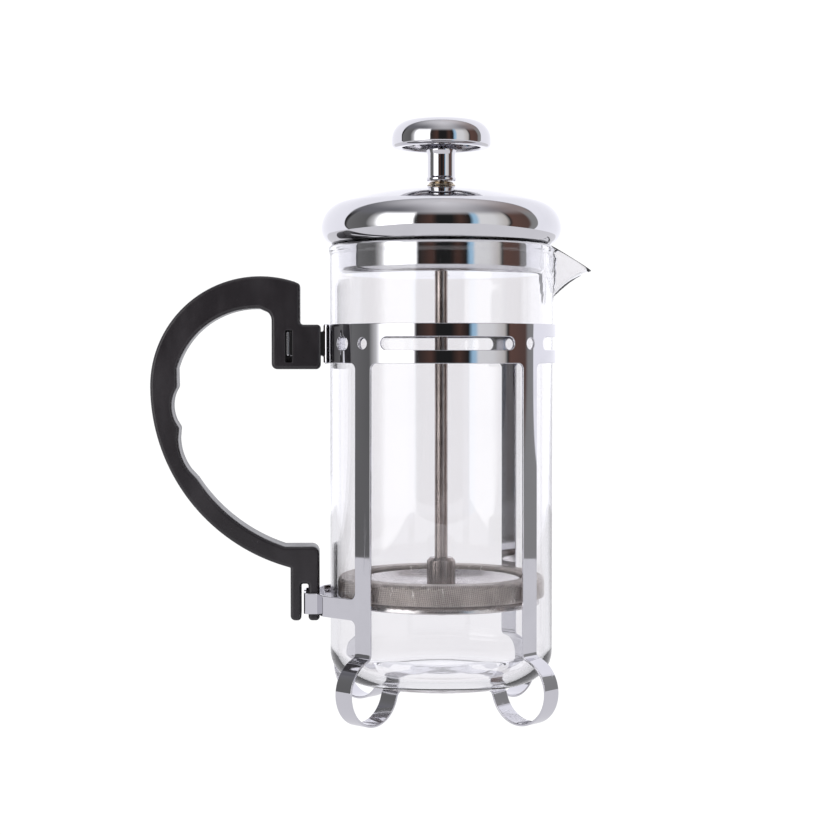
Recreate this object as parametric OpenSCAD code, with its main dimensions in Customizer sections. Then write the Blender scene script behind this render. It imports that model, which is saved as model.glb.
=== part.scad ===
// French press: a glass beaker in a stamped chrome frame, with a domed lid and a mesh plunger.
// Z = 0 is the table and the Z axis is the beaker's axis. The handle is on -X, the spout on +X.

/* [Beaker] */
// Outer radius of the glass wall
beaker_r = 35; // [34:0.5:36]
// Thickness of the glass wall
glass_wall = 2; // [1.6:0.1:2.2]
// Thickness of the glass floor
glass_floor = 3; // [2.6:0.2:3.8]
// Height of the glass underside above the table
beaker_base_z = 10.2; // [10.2:0.1:10.4]
// Height of the glass rim above the table
beaker_rim_z = 147; // [145:0.5:148]
// Outer radius of the glass where the wall turns into the floor
heel_r = 9.5; // [8.5:0.5:10]
// Distance that the spout's tip reaches out from the axis
spout_reach = 48; // [46:0.5:49]

/* [Frame] */
// Thickness of the chromed sheet
sheet_t = 0.7; // [0.6:0.05:0.8]
// Width of a leg's strap
leg_w = 6.5; // [5.5:0.5:7.5]
// Height of the band's lower edge above the table
band_z = 110.2; // [108:0.5:112]
// Height of the band
band_h = 12.1; // [11:0.1:13]
// Outer radius of the loop that makes a foot
foot_r = 10.6; // [10.2:0.1:10.8]
// Height of the lower arms' bottom edge above the table
arm_z = 32; // [30:0.5:33]
// Height of the lower arms
arm_h = 6.5; // [5.5:0.5:7]

/* [Handle] */
// Thickness of the plastic handle
handle_t = 13.5; // [12.5:0.5:15]
// Distance from the handle's block to the far side of its grip
grip_reach = 52.9; // [52:0.1:54]
// Height of the grip's widest point above the table
grip_z = 103; // [102:0.5:104]
// Radius of the grip's outer arc above its widest point
grip_top_r = 34.2; // [34:0.1:34.5]
// Radius of the grip's outer arc below its widest point
grip_low_r = 58.7; // [58:0.1:59]
// Width of the grip
grip_w = 5.9; // [5.5:0.1:6.5]

/* [Lid] */
// Largest radius of the domed lid
dome_r = 37.7; // [37.5:0.1:38]
// Radius of the lid's crown, seen from the side
crown_r = 103.2; // [103:0.1:104]
// Thickness of the lid's sheet
lid_t = 0.7; // [0.6:0.05:0.8]
// Depth of the lid's skirt inside the glass
skirt_depth = 9.4; // [8.5:0.1:10]

/* [Plunger] */
// Radius of the rod
rod_r = 2.05; // [1.9:0.05:2.1]
// Largest radius of the knob
knob_r = 15.55; // [15:0.05:16]
// Height of the knob's top above the table
knob_top_z = 187; // [186.5:0.5:188]
// Radius of the knob's stem
stem_r = 4.4; // [4.2:0.1:4.6]
// Outer height of the folded mesh ring
mesh_h = 6.4; // [6.2:0.1:6.8]

/* [Hidden] */
$fn = 96;
eps = 0.02;
lap = 0.1; // how far pieces of one stamping run into each other

// Clearances
glass_gap = 0.35; // between the glass and the band, all round
run_gap = 0.08; // running fit of the rod in the lid's bush
slip_gap = 0.15; // round the tabs that sit in the handle

// Frame
band_in_r = beaker_r + glass_gap;
band_mid_r = band_in_r + sheet_t / 2;
band_mid_z = band_z + band_h / 2;
slot_h = 4;
slot_half_angle = 34;
leg_hole_r = 1.75;
short_slot_w = 6.5;
short_slot_angle = 61;
leg_fillet_r = 2;
bend_r = 1.6;
ear_y = 4.5;
ear_h = 7.7;
ear_len = 11.7;
ear_hook = 1.7;
bend_angle = acos((ear_y + bend_r) / (band_mid_r + bend_r));
ear_x = -(band_mid_r + bend_r) * sin(bend_angle);
strap_z = beaker_base_z - sheet_t / 2 - 0.15;
strap_end_r = leg_w / 2 + 0.05;

// Foot loops
foot_step = 10;
foot_mid_r = foot_r - sheet_t / 2;
foot_c_r = beaker_r - 1;
foot_c_z = foot_mid_r * cos(foot_step / 2) + sheet_t / 2;
ankle_r = 1.8;
ankle_dx = band_mid_r + ankle_r - foot_c_r;
ankle_dz = sqrt(pow(foot_mid_r + ankle_r, 2) - pow(ankle_dx, 2));
ankle_angle = atan2(ankle_dz, ankle_dx);
instep_r = 2;
instep_angle = 180 + asin((foot_c_z + instep_r - strap_z) / (foot_mid_r + instep_r));

// Handle
handle_x = -(beaker_r + 2.9); // the face of its block, next to the glass
block_w = 15.3;
block_z = 108.3;
block_top_z = 122.2;
neck_w = 8.9;
toe_top_z = 53;
toe_z = 29.8;
toe_inset = 0.5;
prong_w = 3.5;
fork_w = 2.2;
fork_top_z = 41.3;
toe_w = 9.1;
corner_r = 1.5;
prong_x = handle_x - toe_inset;
fork_x = prong_x - prong_w;
window_w = 2.1;
window_x = -11;
window_z = 110.4;
window_h = 10;

// Glass
glass_in_r = beaker_r - glass_wall;
floor_z = beaker_base_z + glass_floor;
punt_r = 22;
punt_depth = 0.9;

// Lid
lid_gap = 0.1;
dome_edge_z = beaker_rim_z + lid_gap;
curl_r = 5.5;
curl_angle = 70;
dome_z = dome_edge_z + curl_r * sin(curl_angle);
crown_c_z = dome_z - 90;
shoulder_r = (crown_r * crown_r - dome_r * dome_r - pow(dome_z - crown_c_z, 2)) / (2 * (crown_r - dome_r));
shoulder_angle = atan2(dome_z - crown_c_z, dome_r - shoulder_r);
recess_r = 11.6;
recess_z = crown_c_z + sqrt(pow(crown_r, 2) - pow(recess_r, 2)) - 0.8;
skirt_r = glass_in_r - 0.6;
skirt_t = 0.5;
skirt_round = 2.3;
skirt_hole_r = rod_r + 0.6;
flange_z = dome_edge_z + 0.67;
flange_r = dome_r - curl_r + 1.6;
skirt_z = beaker_rim_z + 0.2 - skirt_depth;
bush_r = 4.4;
bush_shank_r = 3;
bush_top_z = recess_z + 3;
bush_nut_h = 3.2;
bush_nut_r = 5.5;

// Plunger
seat_gap = 0.2;
stem_z = bush_top_z + seat_gap;
knob_crown_r = 64.5;
knob_t = 0.8;
knob_z = knob_top_z - 6.7;
knob_c_z = knob_top_z - knob_crown_r;
knob_shoulder_r = (pow(knob_crown_r, 2) - pow(knob_r, 2) - pow(knob_z - knob_c_z, 2))
    / (2 * (knob_crown_r - knob_r));
knob_shoulder_angle = atan2(knob_z - knob_c_z, knob_r - knob_shoulder_r);
knob_roll_r = 1;
knob_rim_z = knob_top_z - 9.4;
knob_mouth_r = 12.3;
rod_top_z = stem_z + 11.3;
rod_z = 30.6;
plate_t = 0.6;
filter_r = glass_in_r - 0.4;
screen_z = 37.2;
screen_t = 0.3;
lower_plate_r = 31;
lower_plate_drop = 2.4; // how far its edge is turned down
lower_plate_edge_r = 1.5;
nut_h = 3.2;
nut_r = 5;
dish_r = 25.6;
dish_floor_r = 16;
dish_rim_z = 42.5;
dish_rise_r = 12; // of the curve from the dish's floor up to its rim
dish_z = screen_z + screen_t;
fold_r = dish_r + 0.6;
hub_r = 4.5;
hub_top_z = 48.9;
spring_r = (filter_r - fold_r) / 2 - screen_t - 0.1;

// ---- outlines -------------------------------------------------------------

// Points on an arc from angle a0 to angle a1, about every foot_step degrees unless n is given
function arc(c, r, a0, a1, n = 0) =
    let (m = n > 0 ? n : max(2, ceil(abs(a1 - a0) / foot_step)))
    [for (i = [0:m]) c + r * [cos(a0 + (a1 - a0) * i / m), sin(a0 + (a1 - a0) * i / m)]];

// Points on an arc from p to q that bulges by sag to the left of the way from p to q
function bulge(p, q, sag, n = 8) =
    let (chord = norm(q - p), r = chord * chord / (8 * sag) + sag / 2,
        way = (q - p) / chord, left = [-way[1], way[0]],
        c = (p + q) / 2 - (r - sag) * left,
        half = asin(chord / (2 * r)), mid = atan2(left[1], left[0]))
    [for (i = [0:n]) c + r * [cos(mid + half * (1 - 2 * i / n)), sin(mid + half * (1 - 2 * i / n))]];

function unit(v) = v / norm(v);
function left_of(v) = [-v[1], v[0]];

// The offset that keeps a strip's width true at point i of a path
function mitre(path, i) =
    let (last = len(path) - 1,
        a = left_of(unit(i > 0 ? path[i] - path[i - 1] : path[1] - path[0])),
        b = left_of(unit(i < last ? path[i + 1] - path[i] : path[last] - path[last - 1])))
    (a + b) / (1 + a * b);

// A strip of thickness t along a path
module strip(path, t) {
    left = [for (i = [0:len(path) - 1]) path[i] + mitre(path, i) * t / 2];
    right = [for (i = [len(path) - 1:-1:0]) path[i] - mitre(path, i) * t / 2];
    polygon(concat(left, right));
}

// A ring with a square section
module ring(r_in, r_out, z, h) {
    difference() {
        translate([0, 0, z]) cylinder(r = r_out, h = h);
        translate([0, 0, z - 1]) cylinder(r = r_in, h = h + 2);
    }
}

// The corner between two edges at right angles, filled to radius r, drawn in the first quadrant
module fillet(r) {
    difference() {
        square(r);
        translate([r, r]) circle(r = r);
    }
}

// ---- frame ----------------------------------------------------------------

// A cutter for a slot with round ends that follows the band, at an angle from -Y towards +X
module band_slot(angle, half_angle) {
    r = slot_h / 2;
    end_angle = half_angle - asin(r / band_mid_r);
    rotate([0, 0, angle - 90]) {
        rotate_extrude(start = -end_angle, angle = 2 * end_angle)
            translate([band_in_r - 1, band_mid_z - r + eps])
            square([sheet_t + 2, slot_h - 2 * eps]);
        for (side = [-1, 1])
            rotate([0, 0, side * end_angle])
            translate([band_in_r - 1, 0, band_mid_z])
            rotate([0, 90, 0]) cylinder(r = r, h = sheet_t + 2);
    }
}

module leg_hole(angle) {
    rotate([0, 0, angle - 90])
        translate([band_in_r - 1, 0, band_mid_z])
        rotate([0, 90, 0]) cylinder(r = leg_hole_r, h = sheet_t + 2);
}

// One end of the band, bent out beside the handle's block, with the tab that hooks into it
module band_end() {
    translate([ear_x, -ear_y - bend_r, band_z])
        rotate_extrude(start = 90 - bend_angle, angle = bend_angle)
        translate([bend_r - sheet_t / 2, 0]) square([sheet_t, band_h]);
    translate([ear_x - ear_len, -ear_y - sheet_t / 2, band_mid_z - ear_h / 2])
        cube([ear_len + lap, sheet_t, ear_h]);
    translate([ear_x - ear_len, -ear_y - ear_hook, band_mid_z - ear_h / 2])
        cube([sheet_t, ear_hook, ear_h]);
}

module band() {
    short_half = short_slot_w / 2 / band_mid_r * 180 / PI;
    color("gainsboro") {
        difference() {
            rotate_extrude(start = -90 - bend_angle - lap, angle = 180 + 2 * bend_angle + 2 * lap)
                translate([band_in_r, band_z]) square([sheet_t, band_h]);
            for (angle = [0, 90, 180]) band_slot(angle, slot_half_angle);
            for (angle = [-short_slot_angle, 180 + short_slot_angle]) band_slot(angle, short_half);
            for (angle = [-45, 45, 135, 225]) leg_hole(angle);
        }
        band_end();
        mirror([0, 1, 0]) band_end();
    }
}

// The leg's strap in the (radius, height) plane: down, out over the ankle, round the foot, in again
leg_path = let (
    ankle_c = [foot_c_r + ankle_dx, foot_c_z + ankle_dz],
    foot_c = [foot_c_r, foot_c_z],
    first = foot_step * (floor(ankle_angle / foot_step - 0.8) + 0.5),
    round_foot = [for (a = [first:-foot_step:instep_angle - 356])
        foot_c + foot_mid_r * [cos(a), sin(a)]],
    instep_c = foot_c + (foot_mid_r + instep_r) * [cos(instep_angle), sin(instep_angle)])
    concat([[band_mid_r, band_z]],
        arc(ankle_c, ankle_r, 180, 180 + ankle_angle, 4),
        round_foot,
        arc(instep_c, instep_r, instep_angle - 180, 90, 5),
        [[strap_end_r, strap_z]]);

// The strap of one leg, standing on +X
module leg_strap() {
    rotate([90, 0, 0]) linear_extrude(leg_w, center = true) strip(leg_path, sheet_t);
    for (side = [-1, 1])
        translate([band_in_r, side * leg_w / 2, band_z])
        rotate([0, 90, 0]) rotate([0, 0, side > 0 ? 0 : -90])
        linear_extrude(sheet_t) fillet(leg_fillet_r);
}

// A point of the plan turned into the frame of the front left leg, which then stands on +X
function to_leg(x, y) = [-(x + y) * sin(45), (x - y) * sin(45)];

// Seen from above: along the leg's plane, up to the handle, past its prong and into its fork
hook_y = handle_t / 2 + sheet_t / 2 + 0.4;
arm_path = [
    [band_mid_r, lap - leg_w / 2],
    [band_mid_r, -17],
    to_leg(prong_x - 0.5, -hook_y),
    to_leg(fork_x - fork_w / 2, -hook_y),
    to_leg(fork_x - fork_w / 2, -0.8)
];

// The lower arm of a leg that stands on +X
module arm() {
    translate([0, 0, arm_z]) linear_extrude(arm_h) strip(arm_path, sheet_t);
    for (side = [0, 1])
        translate([band_in_r, -leg_w / 2, arm_z + side * arm_h])
        rotate([0, 90, 0]) rotate([0, 0, side > 0 ? 180 : -90])
        linear_extrude(sheet_t) fillet(leg_fillet_r);
}

module leg_with_arm() {
    color("gainsboro") rotate([0, 0, -135]) {
        leg_strap();
        arm();
    }
}

module leg_front_left() {
    leg_with_arm();
}

module leg_back_left() {
    mirror([0, 1, 0]) leg_with_arm();
}

module leg_front_right() {
    color("gainsboro") rotate([0, 0, -45]) leg_strap();
}

module leg_back_right() {
    color("gainsboro") rotate([0, 0, 45]) leg_strap();
}

base_disc_r = 10;
base_disc_z = strap_z - sheet_t * 1.5;
rivet_r = 2;

module base_disc() {
    color("silver") ring(rivet_r, base_disc_r, base_disc_z, sheet_t);
}

module base_rivet() {
    head_z = strap_z + sheet_t / 2;
    color("silver") rotate_extrude()
        polygon(concat(
            [[0, base_disc_z - 1]],
            arc([1.8, base_disc_z], 1.8, -60, 0, 4),
            [[rivet_r, base_disc_z], [rivet_r, head_z], [4.8, head_z], [4.5, head_z + 0.5], [0, head_z + 0.6]]));
}

// ---- handle ---------------------------------------------------------------

// The handle seen from the side, with x measured from the face of its block
module handle_outline() {
    outer_x = -grip_reach;
    top_c = [outer_x + grip_top_r, grip_z];
    low_c = [outer_x + grip_low_r, grip_z];
    low_in_r = grip_low_r - grip_w;
    top_in_c = [-19.9, grip_z - 1.5];
    top_in_r = 25.7;
    neck_x = -block_w + neck_w;
    neck_angle = acos((neck_x - top_c[0]) / grip_top_r);
    toe_x = -toe_inset - toe_w;
    toe_angle = 360 - acos((toe_x - low_c[0]) / grip_low_r);
    throat_angle = 360 - acos((toe_x - 1.6 - low_c[0]) / low_in_r);
    cusp_low = low_c + low_in_r * [cos(213), sin(213)];
    cusp_mid = [-43.9, grip_z - 12.9];
    cusp_top = [-44.5, grip_z - 0.1];
    polygon(concat(
        arc(top_c, grip_top_r, neck_angle, 180, 16),
        arc(low_c, grip_low_r, 187, toe_angle, 12),
        [[toe_x, toe_z], [-toe_inset, toe_z], [-toe_inset, toe_top_z]],
        arc(low_c, low_in_r, throat_angle, 219, 6),
        bulge(cusp_low, cusp_mid, 2.2),
        bulge(cusp_mid, cusp_top, 2),
        arc(top_in_c, top_in_r, 168, 88, 12),
        arc([-block_w - 3.5, grip_z + 20.4], 3.5, 50, 0, 4),
        [[-block_w, block_z], [0, block_z], [0, block_top_z], [neck_x, block_top_z]]));
}

// A pocket for one of the band's tabs, with the side window that the tab hooks into
module handle_pocket() {
    pocket_end = ear_x - ear_len - slip_gap;
    pocket_h = ear_h + 2 * slip_gap;
    translate([pocket_end, -ear_y - sheet_t / 2 - slip_gap, band_mid_z - pocket_h / 2])
        cube([handle_x - pocket_end + 1, sheet_t + 2 * slip_gap, pocket_h]);
    translate([handle_x + window_x, -handle_t / 2 - 1, window_z])
        cube([window_w, handle_t / 2 + 1 - ear_y + sheet_t / 2 + slip_gap, window_h]);
}

module handle() {
    color([0.13, 0.13, 0.14]) difference() {
        translate([handle_x, 0, 0])
            rotate([90, 0, 0])
            linear_extrude(handle_t, center = true)
            offset(r = corner_r, $fn = 24) offset(delta = -corner_r) handle_outline();
        handle_pocket();
        mirror([0, 1, 0]) handle_pocket();
        translate([fork_x - fork_w, -handle_t / 2 - 1, toe_z - 1])
            cube([fork_w, handle_t + 2, fork_top_z - toe_z + 1]);
    }
}

// ---- glass ----------------------------------------------------------------

// The four corners of the spout: its tip, both ends at the rim, and its root on the wall
spout_lip_r = 1.5;
spout_corners = [
    [spout_reach - spout_lip_r, 0, beaker_rim_z - 9],
    [beaker_r - 3, 9.5, beaker_rim_z - 2],
    [beaker_r - 3, -9.5, beaker_rim_z - 2],
    [beaker_r - 1.6, 0, beaker_rim_z - 15.5]
];

module spout_outside() {
    hull() for (p = spout_corners) translate(p) sphere(r = spout_lip_r, $fn = 20);
}

module spout_channel() {
    hull() for (p = spout_corners, up = [0, 9])
        translate(p + [0, 0, up]) sphere(r = 0.25, $fn = 16);
}

module glass_profile() {
    in_heel_r = heel_r - glass_wall;
    polygon(concat(
        [[0, beaker_base_z + punt_depth], [punt_r - 3, beaker_base_z + punt_depth], [punt_r, beaker_base_z]],
        arc([beaker_r - heel_r, beaker_base_z + heel_r], heel_r, -90, 0, 9),
        [[beaker_r, beaker_rim_z - 3]],
        arc([beaker_r - glass_wall / 2 + 0.3, beaker_rim_z - 1], 1, 0, 180, 6),
        [[glass_in_r, beaker_rim_z - 3]],
        arc([glass_in_r - in_heel_r, floor_z + in_heel_r], in_heel_r, 0, -90, 9),
        [[0, floor_z]]));
}

module beaker() {
    color([0.85, 0.9, 0.92, 0.35]) difference() {
        union() {
            rotate_extrude() glass_profile();
            difference() {
                spout_outside();
                translate([0, 0, beaker_rim_z - 20]) cylinder(r = beaker_r - 0.5, h = 30);
            }
        }
        spout_channel();
    }
}

// ---- lid ------------------------------------------------------------------

module lid_dome() {
    half = lid_t / 2;
    start_r = recess_r + 0.9;
    crown_angle = acos(start_r / (crown_r - half));
    color("gainsboro") rotate_extrude()
        strip(concat(
            [[bush_shank_r + 0.05, recess_z - half], [recess_r - 0.6, recess_z - half]],
            arc([0, crown_c_z], crown_r - half, crown_angle, shoulder_angle, 5),
            [for (a = [shoulder_angle - 6:-6:3])
                [dome_r - shoulder_r, dome_z] + (shoulder_r - half) * [cos(a), sin(a)]],
            arc([dome_r - curl_r, dome_z], curl_r - half, 0, -curl_angle, 9)), lid_t);
}

module lid_insert() {
    in_round = skirt_round - skirt_t;
    color("gainsboro") rotate_extrude()
        polygon(concat(
            [[skirt_hole_r, skirt_z]],
            arc([skirt_r - skirt_round, skirt_z + skirt_round], skirt_round, -90, 0, 6),
            [[skirt_r, flange_z], [flange_r, flange_z], [flange_r, flange_z + skirt_t],
                [skirt_r - skirt_t, flange_z + skirt_t]],
            arc([skirt_r - skirt_round, skirt_z + skirt_round], in_round, 0, -90, 6),
            [[skirt_hole_r, skirt_z + skirt_t]]));
}

module lid_bush() {
    under_z = recess_z - lid_t;
    bush_end_z = under_z - bush_nut_h - 1;
    color("silver") difference() {
        rotate_extrude()
            polygon([[0, bush_end_z], [bush_shank_r, bush_end_z], [bush_shank_r, recess_z],
                [bush_r - 0.5, recess_z], [bush_r - 0.5, recess_z + 1.3], [bush_r, recess_z + 1.8],
                [bush_r, recess_z + 2.2], [bush_r - 0.8, bush_top_z], [0, bush_top_z]]);
        translate([0, 0, bush_end_z - 1]) cylinder(r = rod_r + run_gap, h = bush_top_z - bush_end_z + 2);
    }
}

module bush_nut() {
    color("silver") translate([0, 0, recess_z - lid_t - bush_nut_h]) difference() {
        cylinder(r = bush_nut_r, h = bush_nut_h, $fn = 6);
        translate([0, 0, -1]) cylinder(r = bush_shank_r, h = bush_nut_h + 2);
    }
}

// ---- plunger --------------------------------------------------------------

module knob_cap() {
    half = knob_t / 2;
    color("gainsboro") rotate_extrude()
        intersection() {
            strip(concat(
                [[-1, knob_top_z - half]],
                [for (a = [89:-5:knob_shoulder_angle + 2]) [0, knob_c_z]
                    + (knob_crown_r - half) * [cos(a), sin(a)]],
                arc([knob_r - knob_shoulder_r, knob_z], knob_shoulder_r - half, knob_shoulder_angle, 0, 8),
                arc([knob_r - half - knob_roll_r, knob_rim_z + half + knob_roll_r], knob_roll_r, 0, -90, 4),
                [[knob_mouth_r, knob_rim_z + half]]), knob_t);
            translate([0, knob_rim_z - 1]) square([knob_r + 1, knob_top_z - knob_rim_z + 2]);
        }
}

module knob_stem() {
    stem_top_z = knob_top_z - knob_t - 0.2;
    color("gainsboro") difference() {
        rotate_extrude()
            polygon([[0, stem_z], [stem_r, stem_z], [stem_r + 0.25, stem_z + 0.4], [stem_r + 0.25, stem_z + 0.9],
                [stem_r - 0.1, stem_z + 1.5], [stem_r - 0.1, stem_z + 8.2], [stem_r + 0.3, stem_z + 9.6],
                [stem_r + 0.3, stem_top_z], [0, stem_top_z]]);
        translate([0, 0, stem_z - 1]) cylinder(r = rod_r, h = rod_top_z - stem_z + 1);
    }
}

module plunger_rod() {
    color("darkgray") translate([0, 0, rod_z]) cylinder(r = rod_r, h = rod_top_z - rod_z);
}

module hub_sleeve() {
    hub_z = dish_z + plate_t;
    color("darkgray") difference() {
        rotate_extrude()
            polygon([[0, hub_z], [hub_r, hub_z], [hub_r, hub_top_z - 1], [hub_r - 1, hub_top_z], [0, hub_top_z]]);
        translate([0, 0, hub_z - 1]) cylinder(r = rod_r, h = hub_top_z - hub_z + 2);
    }
}

// A ring of drain holes through a plate
module drain_holes(count, hole_r, circle_r, z, h) {
    for (i = [0:count - 1])
        rotate([0, 0, i * 360 / count])
        translate([circle_r, 0, z - 1]) cylinder(r = hole_r, h = h + 2);
}

module upper_plate() {
    mid_z = dish_z + plate_t / 2;
    color("silver") difference() {
        rotate_extrude()
            strip(concat(
                [[rod_r, mid_z]],
                arc([dish_floor_r, mid_z + dish_rise_r], dish_rise_r, -90, -42, 5),
                [[dish_r - 0.6, dish_rim_z - 0.5], [dish_r, dish_rim_z - 0.3]]), plate_t);
        drain_holes(6, 2.2, 11, dish_z, plate_t);
    }
}

module edge_spring() {
    color("darkgray") translate([0, 0, screen_z + mesh_h / 2])
        rotate_extrude() translate([(filter_r + fold_r) / 2, 0]) circle(r = spring_r, $fn = 48);
}

// The screen lies flat under the dish, and its edge is folded up and over the spring
module mesh_screen() {
    color("dimgray") rotate_extrude()
        difference() {
            polygon([[rod_r, screen_z], [filter_r - 0.6, screen_z], [filter_r, screen_z + 0.6],
                [filter_r, screen_z + mesh_h - 1.2], [filter_r - 1.2, screen_z + mesh_h],
                [fold_r + 0.6, screen_z + mesh_h], [fold_r, screen_z + mesh_h - 0.6],
                [fold_r, dish_z], [rod_r, dish_z]]);
            translate([(filter_r + fold_r) / 2, screen_z + mesh_h / 2]) circle(r = spring_r + 0.1, $fn = 48);
        }
}

module lower_plate() {
    mid_z = screen_z - plate_t / 2;
    color("silver") difference() {
        rotate_extrude()
            strip(concat(
                [[rod_r, mid_z]],
                arc([lower_plate_r - lower_plate_edge_r - plate_t / 2, mid_z - lower_plate_edge_r],
                    lower_plate_edge_r, 90, 0, 5),
                [[lower_plate_r - plate_t / 2, screen_z - lower_plate_drop]]), plate_t);
        drain_holes(8, 4, 18, screen_z - plate_t, plate_t);
    }
}

module filter_nut() {
    color("silver") translate([0, 0, screen_z - plate_t - nut_h]) difference() {
        cylinder(r = nut_r, h = nut_h, $fn = 6);
        translate([0, 0, -1]) cylinder(r = rod_r, h = nut_h + 2);
    }
}

band();
leg_front_left();
leg_back_left();
leg_front_right();
leg_back_right();
base_disc();
base_rivet();
handle();
beaker();
lid_dome();
lid_insert();
lid_bush();
bush_nut();
knob_cap();
knob_stem();
plunger_rod();
hub_sleeve();
upper_plate();
edge_spring();
mesh_screen();
lower_plate();
filter_nut();
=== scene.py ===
import math
import bisect
import bpy
import numpy as np
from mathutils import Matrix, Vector, noise
from mathutils.geometry import delaunay_2d_cdt


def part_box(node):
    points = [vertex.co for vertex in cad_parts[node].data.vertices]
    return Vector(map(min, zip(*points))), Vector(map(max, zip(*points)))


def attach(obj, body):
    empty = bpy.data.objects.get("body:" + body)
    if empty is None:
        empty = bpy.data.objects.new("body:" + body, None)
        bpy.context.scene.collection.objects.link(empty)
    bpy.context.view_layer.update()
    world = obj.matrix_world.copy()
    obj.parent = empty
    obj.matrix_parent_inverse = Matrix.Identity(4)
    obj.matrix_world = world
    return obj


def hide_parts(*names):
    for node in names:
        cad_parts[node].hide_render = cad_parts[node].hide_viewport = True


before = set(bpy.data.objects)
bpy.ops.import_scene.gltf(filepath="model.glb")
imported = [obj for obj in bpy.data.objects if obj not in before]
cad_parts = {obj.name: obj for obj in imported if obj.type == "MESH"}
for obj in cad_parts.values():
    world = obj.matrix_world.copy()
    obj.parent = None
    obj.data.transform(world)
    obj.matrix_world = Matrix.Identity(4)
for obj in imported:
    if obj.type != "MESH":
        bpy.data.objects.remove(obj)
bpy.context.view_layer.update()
mm = 0.001
print("frame loaded:", len(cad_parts), "nodes")


# ---- lines and outlines, in millimetres; a point is (x, y, normal x, normal y) ----

# the highest and lowest z of a CAD node, and how far it reaches from the axis along y
def spanOf(node):
    low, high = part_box(node)
    return low.z / mm, high.z / mm, high.y / mm


def stepAlong(x, y, heading, bend, length):
    if not bend:
        return x + length * math.cos(heading), y + length * math.sin(heading), heading
    turned = heading + bend * length
    return (x + (math.sin(turned) - math.sin(heading)) / bend,
            y - (math.cos(turned) - math.cos(heading)) / bend, turned)


# a line of straights (a length) and arcs (radius, degrees turned, plus is left)
def bentLine(x, y, heading, runs):
    starts, parts, length = [], [], 0
    heading = math.radians(heading)
    for run in runs:
        radius, turn = run if isinstance(run, tuple) else (0, 0)
        reach = radius * abs(math.radians(turn)) if radius else run
        bend = math.copysign(1 / radius, turn) if radius else 0
        starts.append(length)
        parts.append((x, y, heading, bend))
        x, y, heading = stepAlong(x, y, heading, bend, reach)
        length += reach

    def at(s):
        i = max(0, bisect.bisect_right(starts, s) - 1)
        return stepAlong(*parts[i], s - starts[i])

    return length, at


# the straights and arcs that pass a row of (x, y, radius) corners
def runsPast(corners):
    runs, spare = [], 0
    for a, b, c in zip(corners, corners[1:], corners[2:]):
        before = math.atan2(b[1] - a[1], b[0] - a[0])
        after = math.atan2(c[1] - b[1], c[0] - b[0])
        turn = (after - before + math.pi) % (2 * math.pi) - math.pi
        tangent = b[2] * math.tan(abs(turn) / 2)
        runs += [math.dist(a[:2], b[:2]) - spare - tangent, (b[2], math.degrees(turn))]
        spare = tangent
    return runs + [math.dist(corners[-2][:2], corners[-1][:2]) - spare]


# an outline through (x, y) or (x, y, radius) corners, with its normals to the right of the way
def rounded(corners, closed=True, stepTurn=10):
    points, count = [], len(corners)
    spots = [Vector(c[:2]) for c in corners]
    for i, corner in enumerate(corners):
        ahead = (spots[(i + 1) % count] - spots[i]).normalized()
        back = (spots[i] - spots[i - 1]).normalized()
        if not closed and i == 0:
            back = ahead
        if not closed and i == count - 1:
            ahead = back
        turn = math.atan2(back.x * ahead.y - back.y * ahead.x, back.dot(ahead))
        radius = corner[2] if len(corner) > 2 else 0
        first = math.atan2(-back.x, back.y)
        if not radius:
            angle = first + turn / 2
            points.append((*spots[i], math.cos(angle), math.sin(angle)))
            continue
        side = math.copysign(1, turn)
        start = spots[i] - back * radius * math.tan(abs(turn) / 2)
        centre = start - side * radius * Vector((math.cos(first), math.sin(first)))
        steps = max(2, math.ceil(abs(math.degrees(turn)) / stepTurn))
        for k in range(steps + 1):
            angle = first + turn * k / steps
            normal = Vector((math.cos(angle), math.sin(angle)))
            points.append((*(centre + side * radius * normal), *normal))
    return points


# an arc from one angle to another, with its normals to the right of the way
def arc(x, y, radius, first, last, stepTurn=4):
    steps = max(2, math.ceil(abs(last - first) / stepTurn))
    side = 1 if last > first else -1
    angles = [math.radians(first + (last - first) * k / steps) for k in range(steps + 1)]
    return [(x + radius * math.cos(a), y + radius * math.sin(a), side * math.cos(a), side * math.sin(a))
            for a in angles]


# an arc between two points that bulges by sag to the left of the way
def bulge(start, end, sag):
    start, end = Vector(start), Vector(end)
    chord = (end - start).length
    radius = chord ** 2 / (8 * sag) + sag / 2
    way = (end - start) / chord
    left = Vector((-way.y, way.x))
    centre = (start + end) / 2 - (radius - sag) * left
    half = math.degrees(math.asin(chord / (2 * radius)))
    middle = math.degrees(math.atan2(left.y, left.x))
    return arc(*centre, radius, middle + half, middle - half)


# the loop round a sheet whose middle follows a line, with round edges
def roundSheet(middle, thickness, capSteps=6):
    half = thickness / 2

    def cap(point, side):
        x, y, nx, ny = point
        first = math.atan2(side * ny, side * nx)
        angles = [first + math.pi * k / capSteps for k in range(1, capSteps)]
        return [(x + half * math.cos(a), y + half * math.sin(a), math.cos(a), math.sin(a)) for a in angles]

    right = [(x + nx * half, y + ny * half, nx, ny) for x, y, nx, ny in middle]
    left = [(x - nx * half, y - ny * half, -nx, -ny) for x, y, nx, ny in reversed(middle)]
    return right + cap(middle[-1], 1) + left + cap(middle[0], -1)


# ---- meshes ----

def meshOf(name, points, faces, normals):
    mesh = bpy.data.meshes.new(name)
    mesh.from_pydata([(x * mm, y * mm, z * mm) for x, y, z in points], [], faces)
    mesh.polygons.foreach_set("use_smooth", [True] * len(mesh.polygons))
    if normals is not None:
        mesh.normals_split_custom_set_from_vertices(normals)
    made = bpy.data.objects.new(name, mesh)
    bpy.context.scene.collection.objects.link(made)
    return made


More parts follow.
